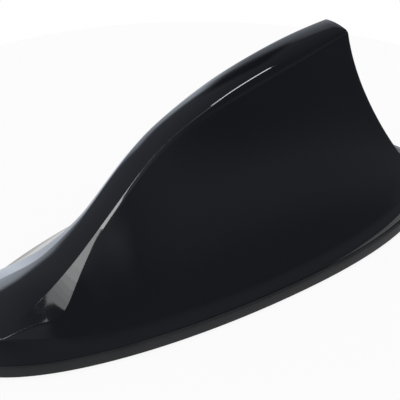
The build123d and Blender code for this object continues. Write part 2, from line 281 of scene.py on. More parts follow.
class FinSealSettings(bpy.types.PropertyGroup):
    """Sizes and finish of the rubber seal."""

    height: size("Height", "Height of the seal over the roof", 3.8 * MM)
    lip: size("Lip", "How far the seal stands out under the cover", 0.8 * MM)
    depth: size("Depth", "How far the seal reaches in under the cover", 2.4 * MM)
    segments: whole("Segments", "Points round the seal", 192, 24)
    colour: tint("Colour", "Rubber", (0.021, 0.0215, 0.024))
    roughness: share("Roughness", "Dullness of the rubber", 0.55)


class FinInsideSettings(bpy.types.PropertyGroup):
    """Colours of the base and the parts inside."""

    moulding: tint("Moulding", "Base moulding", (0.018, 0.018, 0.020))
    foam_tape: tint("Foam tape", "Adhesive pad", (0.070, 0.071, 0.075))
    mask: tint("Solder mask", "Boards", (0.012, 0.105, 0.040))
    copper: tint("Copper", "Meander and strip", (0.80, 0.42, 0.24))
    tin: tint("Tin", "Can, pins and solder", (0.70, 0.70, 0.68))
    steel: tint("Zinc plate", "Ground plate and screws", (0.58, 0.58, 0.57))
    ceramic: tint("Ceramic", "Capacitors", (0.40, 0.27, 0.15))


class FinStageSettings(bpy.types.PropertyGroup):
    """Camera and light."""

    lens: number("Lens", "Focal length in millimetres", 160.0, 20.0)
    fill: number("Fill", "Plain light from all round", 0.50)
    key: number("Key lamp", "Radiance of the lamp over the nose", 5.5)
    strip: number("Strip lamp", "Radiance of the narrow lamp beside it", 15.0)
    floor_size: size("Floor radius", "Radius of the pale floor", 150.0 * MM)
    floor_drop: size("Floor drop", "How far the floor lies under the aerial", 0.1 * MM)
    floor: tint("Floor", "Pale floor", (0.94, 0.94, 0.94))
    shadow: share("Shadow", "How much of its own light the floor shows", 0.12)
    # Tint of the glowing surround, which paints the reflections in the gloss
    cloth: tint("Cloth", "Cloth round the stage that only reflections show", (0.82, 0.89, 1.0))


class FinSettings(bpy.types.PropertyGroup):
    """All settings of the aerial."""

    cover: PointerProperty(type=FinCoverSettings)
    seal: PointerProperty(type=FinSealSettings)
    inside: PointerProperty(type=FinInsideSettings)
    stage: PointerProperty(type=FinStageSettings)


class Signal:
    """A shader socket that takes part in Python arithmetic."""

    def __init__(self, finish, socket):
        self.finish = finish
        self.socket = socket

    def math(self, operation, *others):
        """A Math node of this value and others."""
        return self.finish.math(operation, self, *others)

    def __add__(self, other):
        return self.math("ADD", other)

    def __sub__(self, other):
        return self.math("SUBTRACT", other)

    def __rsub__(self, other):
        return self.finish.math("SUBTRACT", other, self)

    def __mul__(self, other):
        return self.math("MULTIPLY", other)

    def __truediv__(self, other):
        return self.math("DIVIDE", other)

    def __rtruediv__(self, other):
        return self.finish.math("DIVIDE", other, self)

    __radd__ = __add__
    __rmul__ = __mul__

    def ramp(self, low, high):
        """Nought up to one value, one from the other on, smooth between, in either order."""
        settings = {"interpolation_type": "SMOOTHSTEP"}
        return self.finish.node("ShaderNodeMapRange", settings, self, low, high, 0.0, 1.0)


class Finish:
    """A node tree under construction."""

    def __init__(self, tree):
        self.tree = tree
        tree.nodes.clear()

    def feed(self, socket, value):
        """A link or a value for a socket."""
        if isinstance(value, Signal):
            self.tree.links.new(value.socket, socket)
        elif isinstance(value, (tuple, list)) and socket.type == "RGBA" and len(value) == 3:
            socket.default_value = (*value, 1.0)
        else:
            socket.default_value = value

    def node(self, kind, settings=None, *values, out=0, **named):
        """Any node: its settings first, then the values or links of its sockets in order or by name."""
        made = self.tree.nodes.new(kind)
        for key, value in (settings or {}).items():
            setattr(made, key, value)
        usable = [socket for socket in made.inputs if socket.enabled]
        for socket, value in zip(usable, values):
            self.feed(socket, value)
        for key, value in named.items():
            wanted = key.replace("_", " ")
            self.feed(next(s for s in made.inputs if s.enabled and s.name == wanted), value)
        if not made.outputs:
            return None
        if isinstance(out, str):
            return Signal(self, made.outputs[out])
        return Signal(self, [socket for socket in made.outputs if socket.enabled][out])

    def math(self, operation, *terms):
        """A Math node of values and numbers."""
        return self.node("ShaderNodeMath", {"operation": operation}, *terms)

    def place(self):
        """Object coordinates in metres."""
        return self.node("ShaderNodeTexCoord", out="Object")

    def parts(self, vector):
        """The three parts of a vector."""
        made = self.node("ShaderNodeSeparateXYZ", None, vector)
        return [Signal(self, socket) for socket in made.socket.node.outputs]

    def stretched(self, scale):
        """Object coordinates stretched by a scale on each axis."""
        return self.node("ShaderNodeMapping", None, self.place(), Scale=scale)

    def noise(self, scale, detail=3.0, rough=0.5, vector=None):
        """Cloudy noise with a number of cycles to the metre."""
        sockets = {"Vector": vector or self.place(), "Scale": scale, "Detail": detail, "Roughness": rough}
        return self.node("ShaderNodeTexNoise", None, **sockets)

    def cells(self, scale, feature="F1"):
        """Distance to the nearest of scattered points, or to the walls between them."""
        return self.node("ShaderNodeTexVoronoi", {"feature": feature}, Vector=self.place(), Scale=scale)

    def blend(self, factor, first, second):
        """A colour between two others."""
        return self.node("ShaderNodeMix", {"data_type": "RGBA"}, factor, first, second)

    def bump(self, height, strength, distance):
        """A normal from a height in metres."""
        return self.node("ShaderNodeBump", None, Strength=strength, Distance=distance, Height=height)


def undressed(name):
    """A material with an empty tree, and the tree."""
    material = bpy.data.materials.new(name)
    material.use_nodes = True
    return material, Finish(material.node_tree)


def dressed(name, build, **constants):
    """A material whose constants sit on its shader, and whose varying inputs a function of its tree gives."""
    material, finish = undressed(name)
    shader = finish.node("ShaderNodeBsdfPrincipled", None, **constants, **build(finish))
    finish.node("ShaderNodeOutputMaterial", None, shader)
    return material


def scaled(colour, factor):
    """A colour made lighter or darker."""
    return tuple(min(part * factor, 1.0) for part in colour)


def gloss_moulding(settings):
    """Gloss black moulded plastic: a faint flow pattern, handling haze and a little orange peel."""

    def build(finish):
        flow = finish.noise(34.0, detail=4.0, rough=0.55, vector=finish.stretched((0.5, 1.0, 1.0)))
        haze = finish.noise(85.0, detail=5.0, rough=0.6)
        peel = finish.noise(900.0, detail=1.0, rough=0.4)
        dust = finish.cells(2600.0).ramp(0.10, 0.04)
        colour = finish.blend(flow, scaled(settings.colour, 0.82), scaled(settings.colour, 1.2))
        rough = haze.ramp(0.35, 0.75) * (0.5 * settings.roughness) + 0.75 * settings.roughness + dust * 0.05
        relief = finish.bump(peel, strength=0.012, distance=0.0002)
        return {"Base_Color": colour, "Roughness": rough, "Normal": relief}

    return dressed("gloss_moulding", build, IOR=1.5)


def seal_rubber(name, colour, roughness):
    """Moulded rubber: bloom in soft clouds and a fine dull grain."""

    def build(finish):
        bloom = finish.noise(60.0, detail=4.0, rough=0.6)
        grain = finish.noise(5200.0, detail=2.0, rough=0.6)
        colours = finish.blend(bloom.ramp(0.3, 0.75), scaled(colour, 0.8), scaled(colour, 1.25))
        rough = bloom * 0.16 + (roughness - 0.08)
        relief = finish.bump(grain, strength=0.12, distance=0.00008)
        return {"Base_Color": colours, "Roughness": rough, "Normal": relief}

    return dressed(name, build, IOR=1.45, Specular_IOR_Level=0.25)


def grained_moulding(name, colour):
    """Dull black moulding with a spark-eroded grain."""

    def build(finish):
        grain = finish.noise(1900.0, detail=3.0, rough=0.65)
        cloud = finish.noise(45.0, detail=3.0, rough=0.5)
        colours = finish.blend(cloud, scaled(colour, 0.8), scaled(colour, 1.25))
        rough = grain * 0.18 + 0.42
        relief = finish.bump(grain, strength=0.3, distance=0.00012)
        return {"Base_Color": colours, "Roughness": rough, "Normal": relief}

    return dressed(name, build, IOR=1.48)


def foam(name, colour, cell, depth):
    """Closed cell foam: round cells with thin walls, the sunken cells painted darker."""

    def build(finish):
        walls = finish.cells(cell, feature="DISTANCE_TO_EDGE").ramp(0.0, 0.22)
        cloud = finish.noise(70.0, detail=3.0, rough=0.55)
        # Sunken cells are painted darker than their walls: painted shade in the pits, with random tone from the cloud
        colours = finish.blend(walls * 0.6 + cloud * 0.4, scaled(colour, 1.3), scaled(colour, 0.75))
        rough = cloud * 0.2 + 0.62
        relief = finish.bump(1 - walls, strength=0.35, distance=depth)
        return {"Base_Color": colours, "Roughness": rough, "Normal": relief}

    return dressed(name, build, IOR=1.4)


def sheet_metal(name, colour, lines, roughness):
    """Rolled or drawn metal: fine lines along the length, and patches of dulled plating."""

    def build(finish):
        rolled = finish.noise(lines, detail=4.0, rough=0.6, vector=finish.stretched((0.04, 1.0, 1.0)))
        patch = finish.noise(120.0, detail=4.0, rough=0.6)
        colours = finish.blend(patch.ramp(0.35, 0.7), scaled(colour, 0.78), scaled(colour, 1.08))
        rough = rolled * 0.16 + patch * 0.12 + (roughness - 0.12)
        relief = finish.bump(rolled, strength=0.08, distance=0.00004)
        return {"Base_Color": colours, "Roughness": rough, "Normal": relief}

    return dressed(name, build, Metallic=1.0)


def spangled_metal(name, colour, grain):
    """Solder and plated parts: a frosty crystal grain."""

    def build(finish):
        crystal = finish.cells(grain)
        cloud = finish.noise(260.0, detail=3.0, rough=0.5)
        colours = finish.blend(crystal, scaled(colour, 1.1), scaled(colour, 0.7))
        rough = cloud * 0.2 + 0.18
        relief = finish.bump(crystal, strength=0.1, distance=0.00006)
        return {"Base_Color": colours, "Roughness": rough, "Normal": relief}

    return dressed(name, build, Metallic=1.0)


def solder_mask(name, colour, upright):
    """Solder mask over glass cloth: a faint weave, and a ground mesh showing lighter through the mask."""
    threads, meshes = 5200.0, 900.0

    def build(finish):
        place = finish.parts(finish.place())
        along, side = place[0], place[2 if upright else 1]
        weave = (along * threads).math("SINE") * (side * threads).math("SINE") * 0.5 + 0.5
        mesh_lines = [(way * meshes).math("PINGPONG", 1.0) for way in (along, side)]
        mesh = mesh_lines[0].math("MAXIMUM", mesh_lines[1]).ramp(0.72, 0.8)
        colours = finish.blend(mesh * 0.6 + weave * 0.2, scaled(colour, 0.85), scaled(colour, 1.7))
        rough = weave * 0.08 + finish.noise(240.0) * 0.12 + 0.24
        relief = finish.bump(mesh + weave * 0.3, strength=0.2, distance=0.00004)
        return {"Base_Color": colours, "Roughness": rough, "Normal": relief}

    return dressed(name, build, IOR=1.52)


def moulded_package(name, colour):
    """Small parts on a board: a dull moulded or fired body with a fine speckle."""

    def build(finish):
        speck = finish.noise(3200.0, detail=3.0, rough=0.7)
        cloud = finish.noise(500.0, detail=2.0, rough=0.5)
        colours = finish.blend(speck * 0.5 + cloud * 0.5, scaled(colour, 0.7), scaled(colour, 1.35))
        rough = speck * 0.25 + 0.4
        relief = finish.bump(speck, strength=0.2, distance=0.00005)
        return {"Base_Color": colours, "Roughness": rough, "Normal": relief}

    return dressed(name, build, IOR=1.5)


class Curve:
    """Smooth curve through given points, with no jump in its bend."""

    def __init__(self, xs, ys):
        self.xs, self.ys = xs, ys
        count = len(xs)
        gaps = [xs[k + 1] - xs[k] for k in range(count - 1)]
        slopes = [(ys[k + 1] - ys[k]) / gaps[k] for k in range(count - 1)]
        upper, right = [0.0] * count, [0.0] * count
        for k in range(1, count - 1):
            pivot = 2.0 * (gaps[k - 1] + gaps[k]) - gaps[k - 1] * upper[k - 1]
            upper[k] = gaps[k] / pivot
            right[k] = (6.0 * (slopes[k] - slopes[k - 1]) - gaps[k - 1] * right[k - 1]) / pivot
        self.bend = [0.0] * count
        for k in range(count - 2, 0, -1):
            self.bend[k] = right[k] - upper[k] * self.bend[k + 1]

    def __call__(self, x):
        k = min(max(bisect_right(self.xs, x) - 1, 0), len(self.xs) - 2)
        gap = self.xs[k + 1] - self.xs[k]
        b = (x - self.xs[k]) / gap
        a = 1.0 - b
        bow = ((a**3 - a) * self.bend[k] + (b**3 - b) * self.bend[k + 1]) * gap * gap / 6.0
        return a * self.ys[k] + b * self.ys[k + 1] + bow


def bezier(points, t):
    """Point on a curve from its control points."""
    while len(points) > 1:
        points = [tuple(p + (q - p) * t for p, q in zip(a, b)) for a, b in zip(points, points[1:])]
    return points[0]


def eased(value, low, high, bend=0.12):
    """Nought below one value and one above another, straight between them, with a soft bend at each end."""
    part = (value - low) / (high - low)
    over = part - 1.0
    return (part + hypot(part, bend) - over - hypot(over, bend)) / 2


def mixed(parts, mix):
    """Sum of parts, each times its share."""
    return sum(part * weight for part, weight in zip(parts, mix))


class FinForm:
    """Outer form of the cover in millimetres: nose to +X, near side +Y, roof skin at nought."""

    # Where a half section's band, the crease at its edge, the bevel and the lower crease end, and its steps
    band_share, edge_share, bevel_share, crease_share = 0.16, 0.22, 0.28, 0.34
    band_steps, crease_steps, bevel_steps, flank_steps = 8, 4, 3, 28
    # Rises over which a section becomes a blade, and runs over which it thins to the tail
    blade_rises, thin_runs = (10.0, 48.0), (0.07, -0.19)
    # Runs over which the crown grows flatter to the nose, and by how much
    crown_runs, crown_growth = (0.66, 0.81), 0.8
    # Least rise of the ridge over the foot, tightest crease, and its widest share of the bevel
    least_rise, least_crease, most_crease = 3.0, 0.03, 0.42
    # Slope of the upper flank in degrees: for each millimetre of rise, without a blade, and what a blade adds
    low_lead, plain_lead, blade_lead = 3.4, 34.0, 50.0
    # How much steeper than half of that slope the bevel is, in degrees
    bevel_tilt = 4.0
    # Fall of the flank, slope of the flare in degrees and reach of the toe: plain, then what a blade adds,
    # then what a thin section adds
    flank_fall, flare_slope, toe_reach = (0.30, 0.24, 0.06), (20.0, -6.0, -4.0), (0.32, 0.20, 0.08)
    # How far the foot leans in for its height, and over how many points the trailing rounding fades to it
    foot_lean, fade_steps = 0.37, 8
    # Steps of the tables, and rounds of each search by halves or by repeats
    table_steps, turn_rounds, height_rounds, row_rounds, lean_rounds = 400, 40, 24, 22, 7
    # Lengths that keep a division away from nought
    tiny, least_span, least_reach = 1e-9, 1e-6, 0.1

    def __init__(self, cover, seal):
        self.length, self.width, self.height = cover.length / MM, cover.width / MM, cover.height / MM
        self.hip, self.crown, self.blunt = cover.hip / MM, cover.crown / MM, cover.blunt / MM
        self.lip, self.seal_top = seal.lip / MM, seal.height / MM
        self.crease_round, self.trail_round = cover.crease_round, cover.trail_round / MM
        self.hip_round, self.wall = cover.hip_round / MM, cover.wall / MM
        self.tail_x = -self.length / 2
        self.peak_from_tail = cover.peak / MM
        self.peak_x = self.tail_x + self.peak_from_tail
        self.wide_x = self.tail_x + cover.widest / MM
        self.nose_run = self.length - self.peak_from_tail
        self.to_nose = self.length / 2 - self.wide_x - self.lip
        self.to_tail = self.wide_x - self.tail_x - self.lip
        self.half = self.width / 2 - self.lip
        self.fullness = cover.fullness
        runs = [row[0] for row in STATIONS]
        self.station = [Curve(runs, [row[k] for row in STATIONS]) for k in (1, 2, 3, 4)]
        parts = [k / self.table_steps for k in range(self.table_steps + 1)]
        trail = [bezier(self.trail_points(), part) for part in parts]
        self.tail_plan = [self.tail_spot(part) for part in parts]
        self.trail_zx = sorted((z, x) for x, z in trail)
        self.trail_xz = sorted(trail)

    def trail_points(self):
        """Control points of the hollow trailing edge seen from the side."""
        return [(self.peak_x - back * self.peak_from_tail, high * self.height) for back, high in TRAIL_CURVE]

    @staticmethod
    def read(table, value):
        """Value beside another in a sorted table of pairs, straight between them."""
        k = min(max(bisect_right(table, (value,)) - 1, 0), len(table) - 2)
        (a, p), (b, q) = table[k], table[k + 1]
        return p + (q - p) * (value - a) / (b - a)

    def trail_x(self, z):
        """Place of the trailing edge at a height."""
        return self.read(self.trail_zx, z)

    def trail_z(self, x):
        """Height of the trailing edge at a place."""
        return self.read(self.trail_xz, x)

    def half_width(self, x, inset=0.0):
        """Half width of the foot, drawn in by an inset."""
        if x > self.wide_x:
            part = min((x - self.wide_x) / (self.to_nose - inset), 1.0)
            return (self.half - inset) * sqrt(1.0 - part * part)
        part = min((self.wide_x - x) / (self.to_tail - inset), 1.0)
        return (self.half - inset) * self.read(self.tail_plan, part)

    def tail_spot(self, t):
        """Point of the quarter outline round the tail, as shares of its reach and width."""
        reach = 3 * t * (1 - t) ** 2 * self.fullness + 3 * t * t * (1 - t) + t**3
        return reach, (1 - t) ** 3 + 3 * t * (1 - t) ** 2 + 3 * t * t * (1 - t) * self.fullness

    def outward(self, x, y):
        """Direction straight out of the foot's outline, from a place near it."""
        if x > self.wide_x:
            return Vector(((x - self.wide_x) / self.to_nose**2, y / self.half**2, 0.0)).normalized()
        aim = max(abs(y), self.tiny) * self.to_tail / (max(self.wide_x - x, self.tiny) * self.half)
        low, high = 0.0, 1.0
        for _ in range(self.turn_rounds):
            t = (low + high) / 2
            reach, half = self.tail_spot(t)
            low, high = (t, high) if half > aim * reach else (low, t)
        step = 1e-4
        (a, p), (b, q) = self.tail_spot(max(t - step, 0.0)), self.tail_spot(min(t + step, 1.0))
        side = 1.0 if y > 0.0 else -1.0
        return Vector(((q - p) * self.half, side * (b - a) * self.to_tail, 0.0)).normalized()

    def outline_spot(self, turn, inset, high):
        """Point of the foot's outline, drawn in by an inset, for a point of a round circle."""
        half = self.half - inset
        if turn.x > 0.0:
            return Vector((self.wide_x + (self.to_nose - inset) * turn.x, half * turn.y, high))
        reach, side = self.tail_spot(asin(min(-turn.x, 1.0)) * 2 / pi)
        return Vector((self.wide_x - (self.to_tail - inset) * reach, copysign(half * side, turn.y), high))

    def section(self, x):
        """Half a cross-section: control points of band and flank, width of the bevel, rounding beside it."""
        run = (x - self.peak_x) / self.nose_run
        part, band, bevel, soft = (curve(run) for curve in self.station)
        ridge = self.hip + part * (self.height - self.hip)
        foot_y = hypot(self.half_width(x), self.blunt)
        foot_z = min(self.hip, ridge - self.least_rise)
        rise = ridge - foot_z
        mix = (1.0, eased(rise, *self.blade_rises), eased(run, *self.thin_runs))
        lead = radians(min(self.low_lead * rise, self.plain_lead + self.blade_lead * mix[1]))
        tilt = lead / 2 + radians(self.bevel_tilt)
        crown = self.crown * (1.0 + self.crown_growth * eased(run, *self.crown_runs, bend=0.0))
        edge = (band, ridge - band * band / (2 * crown))
        crease = (band + bevel * cos(tilt), edge[1] - bevel * sin(tilt))
        fall = rise * mixed(self.flank_fall, mix)
        hollow = (crease[0] + fall * cos(lead), crease[1] - fall * sin(lead))
        flare = radians(mixed(self.flare_slope, mix))
        toe = (foot_y - band) * mixed(self.toe_reach, mix)
        skirt = (foot_y - toe * cos(flare), foot_z + toe * sin(flare))
        top = [(0.0, ridge), (band / 2, ridge), edge]
        flank = [crease, hollow, skirt, (foot_y, foot_z)]
        rounding = max(soft * self.crease_round, self.least_crease)
        return top, flank, bevel, min(rounding, self.most_crease * bevel)

    def profile(self, x, t):
        """Point of half a cross-section with rounded creases, from the ridge at nought to the foot at one."""
        top, flank, bevel, soft = self.section(x)
        edge, crease = top[2], flank[0]
        on_bevel = soft / bevel
        on_band = 1.0 - soft / hypot(edge[0], edge[1] - top[0][1])
        # A cubic leaves its first point three times as fast as the way to its second is long
        lead = hypot(flank[1][0] - crease[0], flank[1][1] - crease[1])
        on_flank = soft / max(3.0 * lead, self.least_reach)
        if t <= self.band_share:
            return bezier(top, on_band * t / self.band_share)
        before = tuple(e + (c - e) * on_bevel for e, c in zip(edge, crease))
        after = tuple(c + (e - c) * on_bevel for e, c in zip(edge, crease))
        if t <= self.edge_share:
            part = (t - self.band_share) / (self.edge_share - self.band_share)
            return bezier([bezier(top, on_band), edge, before], part)
        if t <= self.bevel_share:
            part = (t - self.edge_share) / (self.bevel_share - self.edge_share)
            return tuple(b + (a - b) * part for b, a in zip(before, after))
        if t <= self.crease_share:
            part = (t - self.bevel_share) / (self.crease_share - self.bevel_share)
            return bezier([after, crease, bezier(flank, on_flank)], part)
        part = (t - self.crease_share) / (1.0 - self.crease_share)
        return bezier(flank, on_flank + (1.0 - on_flank) * part)

    def point(self, t, ahead, along):
        """Point of the skin on a row that leans with the trailing edge."""
        nose_x = self.length / 2 - self.lip - self.hip_round
        x = self.peak_x + (nose_x - self.peak_x) * along
        for _ in range(self.lean_rounds):
            y, z = self.profile(x, t)
            start = self.trail_x(z) + ahead
            x = start + (nose_x - start) * along
        return Vector((x, y, z))

    def height_at(self, x, y):
        """Height of the skin over a place of the plan."""
        low, high = 0.0, 1.0
        for _ in range(self.height_rounds):
            middle = (low + high) / 2
            low, high = (middle, high) if self.profile(x, middle)[0] < y else (low, middle)
        return min(self.profile(x, low)[1], self.trail_z(x))

    def row(self, ahead, along, inset):
        """Half a row of the skin, from the ridge to the edge of the foot."""
        low, high = 0.0, 1.0
        for _ in range(self.row_rounds):
            middle = (low + high) / 2
            spot = self.point(middle, ahead, along)
            low, high = (middle, high) if spot.y < self.half_width(spot.x, self.hip_round) else (low, middle)
        marks = [0.0]
        for end, steps in (
            (self.band_share, self.band_steps),
            (self.edge_share, self.crease_steps),
            (self.bevel_share, self.bevel_steps),
            (self.crease_share, self.crease_steps),
            (max(low, self.crease_share), self.flank_steps),
        ):
            start = marks[-1]
            marks += [start + (end - start) * k / steps for k in range(1, steps + 1)]
        spots = [self.point(min(mark, low), ahead, along) for mark in marks]
        if inset > 0.0:
            spots = self.drawn_in(spots, inset)
        return spots

    def drawn_in(self, spots, inset):
        """A half row moved square to itself, into the cover, less and less towards the foot."""
        moved = []
        for k, spot in enumerate(spots):
            before, after = spots[max(k - 1, 0)], spots[min(k + 1, len(spots) - 1)]
            run_y, run_z = after.y - before.y, after.z - before.z
            span = max(hypot(run_y, run_z), self.least_span)
            step_y = 0.0 if k == 0 else run_z / span
            step_z = -1.0 if k == 0 else -run_y / span
            move = inset * min((len(spots) - 1 - k) / self.fade_steps, 1.0)
            moved.append(Vector((spot.x, max(spot.y + step_y * move, 0.0), spot.z + step_z * move)))
        return moved


def chain(bm, spots):
    """Vertices joined in a row, given in millimetres."""
    verts = [bm.verts.new(spot * MM) for spot in spots]
    edges = [bm.edges.new(pair) for pair in zip(verts, verts[1:])]
    return verts, edges


def across(spots):
    """The whole row that goes with its near half: near foot, ridge, far foot."""
    far = [Vector((spot.x, -spot.y, spot.z)) for spot in spots[1:]]
    return spots[:0:-1] + [spots[0]] + far


def loop_of(verts):
    """Edges round a closed run of vertices."""
    pairs = zip(verts, verts[1:] + verts[:1])
    return [next(edge for edge in a.link_edges if b in edge.verts) for a, b in pairs]


def pulled(bm, verts, spots):
    """A closed loop extruded to new places, given in metres."""
    made = bmesh.ops.extrude_edge_only(bm, edges=loop_of(verts))["geom"]
    fresh = {item for item in made if isinstance(item, bmesh.types.BMVert)}
    twins = []
    for vert, spot in zip(verts, spots):
        twin = next(edge.other_vert(vert) for edge in vert.link_edges if edge.other_vert(vert) in fresh)
        twin.co = spot
        twins.append(twin)
    return twins


def finished(bm, name, material, smooth_angle):
    """A mesh object at the origin with its normals outwards and its sharp edges marked."""
    bmesh.ops.remove_doubles(bm, verts=bm.verts, dist=WELD)
    bmesh.ops.dissolve_degenerate(bm, edges=bm.edges, dist=SLIVER)
    bmesh.ops.recalc_face_normals(bm, faces=bm.faces)
    for face in bm.faces:
        face.smooth = True
    for edge in bm.edges:
        edge.smooth = not (len(edge.link_faces) == 2 and edge.calc_face_angle() > smooth_angle)
    mesh = bpy.data.meshes.new(name)
    bm.to_mesh(mesh)
    bm.free()
    mesh.materials.append(material)
    thing = bpy.data.objects.new(name, mesh)
    bpy.context.scene.collection.objects.link(thing)
    return thing


def piece(thing, slot, node):
    """A finished piece that rides with the aerial and stands for a solid."""
    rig.ride(thing, BODY)
    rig.slot(thing, slot)
    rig.replaces(thing, node)


def coat(node, material):
    """Give a solid its finish."""
    slots = bpy.data.objects[node].data.materials
    slots.clear()
    slots.append(material)


class FIN_OT_cover(bpy.types.Operator):
    """Build the smooth moulded cover"""

    bl_idname = "fin.cover"
    bl_label = "Moulded cover"
    sharp_angle = radians(42.0)
    # Steps round the trailing corners, along the tail and down the foot, and how the rows crowd to the nose
    trail_steps, tail_steps, foot_steps, row_crowding = 4, 24, 8, 1.7
    # Walls between the trailing edge and the hollow, and how square the hollow's plan is
    rear_walls, core_power = 2.0, 3

    def execute(self, context):
        settings = context.scene.fin
        form = FinForm(settings.cover, settings.seal)
        bm = bmesh.new()
        rows = self.skin(bm, form, settings.cover.rows)
        rim = self.trailing_face(bm, form, rows)
        self.foot_and_core(bm, form, rim)
        material = gloss_moulding(settings.cover)
        piece(finished(bm, "cover_skin", material, self.sharp_angle), "fin_shell", "fin_shell")
        return {"FINISHED"}

    def skin(self, bm, form, count):
        """Rows from the trailing edge to the nose, bridged one to the next."""
        soft = form.trail_round
        turns = [pi / 2 * (1.0 - k / self.trail_steps) for k in range(self.trail_steps)]
        plan = [(soft * (1.0 - sin(turn)), 0.0, soft * (1.0 - cos(turn))) for turn in turns]
        plan += [(soft, 1.0 - (1.0 - k / count) ** self.row_crowding, 0.0) for k in range(count)]
        rows = []
        for ahead, along, inset in plan:
            rows.append(chain(bm, across(form.row(ahead, along, inset))))
        for (_, first), (_, second) in zip(rows, rows[1:]):
            bmesh.ops.bridge_loops(bm, edges=first + second)
        return [verts for verts, _ in rows]

    def trailing_face(self, bm, form, rows):
        """Hollow face behind the trailing corners, down to the tail, and the rim round the whole foot."""
        verts = rows[0]
        middle = len(verts) // 2
        near, far = verts[:middle][::-1], verts[middle + 1:]
        corner = near[-1].co / MM
        tip = form.tail_x + form.lip + form.hip_round
        low_near, low_far = [], []
        for k in range(1, self.tail_steps):
            x = tip + (corner.x - tip) * (1.0 - k / self.tail_steps) ** 2
            y = form.half_width(x, form.hip_round)
            low_near.append(bm.verts.new(Vector((x, y, form.trail_z(x))) * MM))
            low_far.append(bm.verts.new(Vector((x, -y, form.trail_z(x))) * MM))
        end = bm.verts.new(Vector((tip, 0.0, form.trail_z(tip))) * MM)
        for run, tail in ((near, low_near), (far, low_far)):
            for pair in zip([run[-1]] + tail, tail):
                bm.edges.new(pair)
        bm.edges.new((low_near[-1], end))
        bm.edges.new((low_far[-1], end))
        runs = [near + low_near]
        for part in FACE_CUTS:
            spots = [Vector((vert.co.x, vert.co.y * part, vert.co.z)) / MM for vert in runs[0]]
            runs.append(chain(bm, spots)[0])
        runs.append(far + low_far)
        for pair in zip(runs, runs[1:]):
            sides = [bm.edges.get(ends) for run in pair for ends in zip(run, run[1:])]
            bmesh.ops.bridge_loops(bm, edges=sides)
        bm.faces.new([verts[middle]] + [run[0] for run in runs])
        bm.faces.new([run[-1] for run in runs] + [end])
        near_feet, far_feet = [row[0] for row in rows], [row[-1] for row in rows]
        nose = rows[-1][1:-1]
        return near_feet + nose + far_feet[::-1] + low_far + [end] + low_near[::-1]

    def foot_and_core(self, bm, form, rim):
        """Rounded hip and leaning foot, and the hollow for the boards."""
        curves, outs = [], []
        for vert in rim:
            spot = vert.co / MM
            out = form.outward(spot.x, spot.y)
            corner = spot + out * form.hip_round
            corner.z = form.height_at(corner.x, abs(corner.y))
            shoulder = corner - out * form.foot_lean * (corner.z - form.seal_top)
            curves.append([tuple(spot), tuple(shoulder), (corner.x, corner.y, form.seal_top)])
            outs.append(out)
        loop = rim
        for step in range(1, self.foot_steps + 1):
            loop = pulled(bm, loop, [Vector(bezier(curve, step / self.foot_steps)) * MM for curve in curves])
        loop = pulled(bm, loop, [vert.co - out * form.wall * MM for vert, out in zip(loop, outs)])
        loop = pulled(bm, loop, [Vector((vert.co.x, vert.co.y, CORE[0][0] * MM)) for vert in loop])
        ring = [vert.co / MM for vert in loop]
        back, front = min(spot.x for spot in ring), max(spot.x for spot in ring)
        for high, half in CORE:
            rear_x = form.trail_x(high) + self.rear_walls * form.wall
            climb = (high - CORE_TOE.y) / (CORE_KNEE.y - CORE_TOE.y)
            nose_x = CORE_TOE.x + (CORE_KNEE.x - CORE_TOE.x) * climb
            spots = []
            for spot in ring:
                part = (spot.x - back) / (front - back)
                side = sqrt(max(1.0 - abs(2.0 * part - 1.0) ** self.core_power, 0.0))
                y = copysign(half * side, spot.y)
                spots.append(Vector((rear_x + (nose_x - rear_x) * part, y, high)) * MM)
            loop = pulled(bm, loop, spots)
        bmesh.ops.contextual_create(bm, geom=loop_of(loop))


class FIN_OT_seal(bpy.types.Operator):
    """Build the rubber seal under the cover"""

    bl_idname = "fin.seal"
    bl_label = "Rubber seal"
    sharp_angle = radians(50.0)
    # Lip in millimetres, inward from its edge: bevel up from the roof, then rounding down from the top
    lip_bevel = ((0.35, 0.0), (0.1, 0.08), (0.0, 0.3))
    lip_round = ((0.0, 1.0), (0.03, 0.75), (0.12, 0.5), (0.26, 0.3), (0.44, 0.18), (0.6, 0.14))
    # Groove in the top, by depth: its floor inward from the lip's edge, its wall from the cover's foot
    groove_floor = ((0.66, 0.3), (0.8, 0.34))
    groove_wall = ((0.14, 0.3), (0.2, 0.0))

    def outline(self, lip, top, depth):
        """Section of the seal: how far in from the foot's outline, and how high, in millimetres."""
        spots = [(inward - lip, high) for inward, high in self.lip_bevel]
        spots += [(inward - lip, top - down) for inward, down in self.lip_round + self.groove_floor]
        spots += [(inward, top - down) for inward, down in self.groove_wall]
        return [(depth, 0.0), *spots, (depth, top)]

    def execute(self, context):
        settings = context.scene.fin
        seal = settings.seal
        form = FinForm(settings.cover, seal)
        bm = bmesh.new()
        rings = []
        for inset, high in self.outline(seal.lip / MM, seal.height / MM, seal.depth / MM):
            made = bmesh.ops.create_circle(bm, segments=seal.segments, radius=1.0)["verts"]
            for vert in made:
                vert.co = form.outline_spot(vert.co, inset, high) * MM
            rings.append({edge for vert in made for edge in vert.link_edges})
        for first, second in zip(rings, rings[1:] + rings[:1]):
            bmesh.ops.bridge_loops(bm, edges=list(first | second))
        material = seal_rubber("seal_rubber", seal.colour, seal.roughness)
        piece(finished(bm, "seal_ring", material, self.sharp_angle), "rim_seal", "rim_seal")
        return {"FINISHED"}


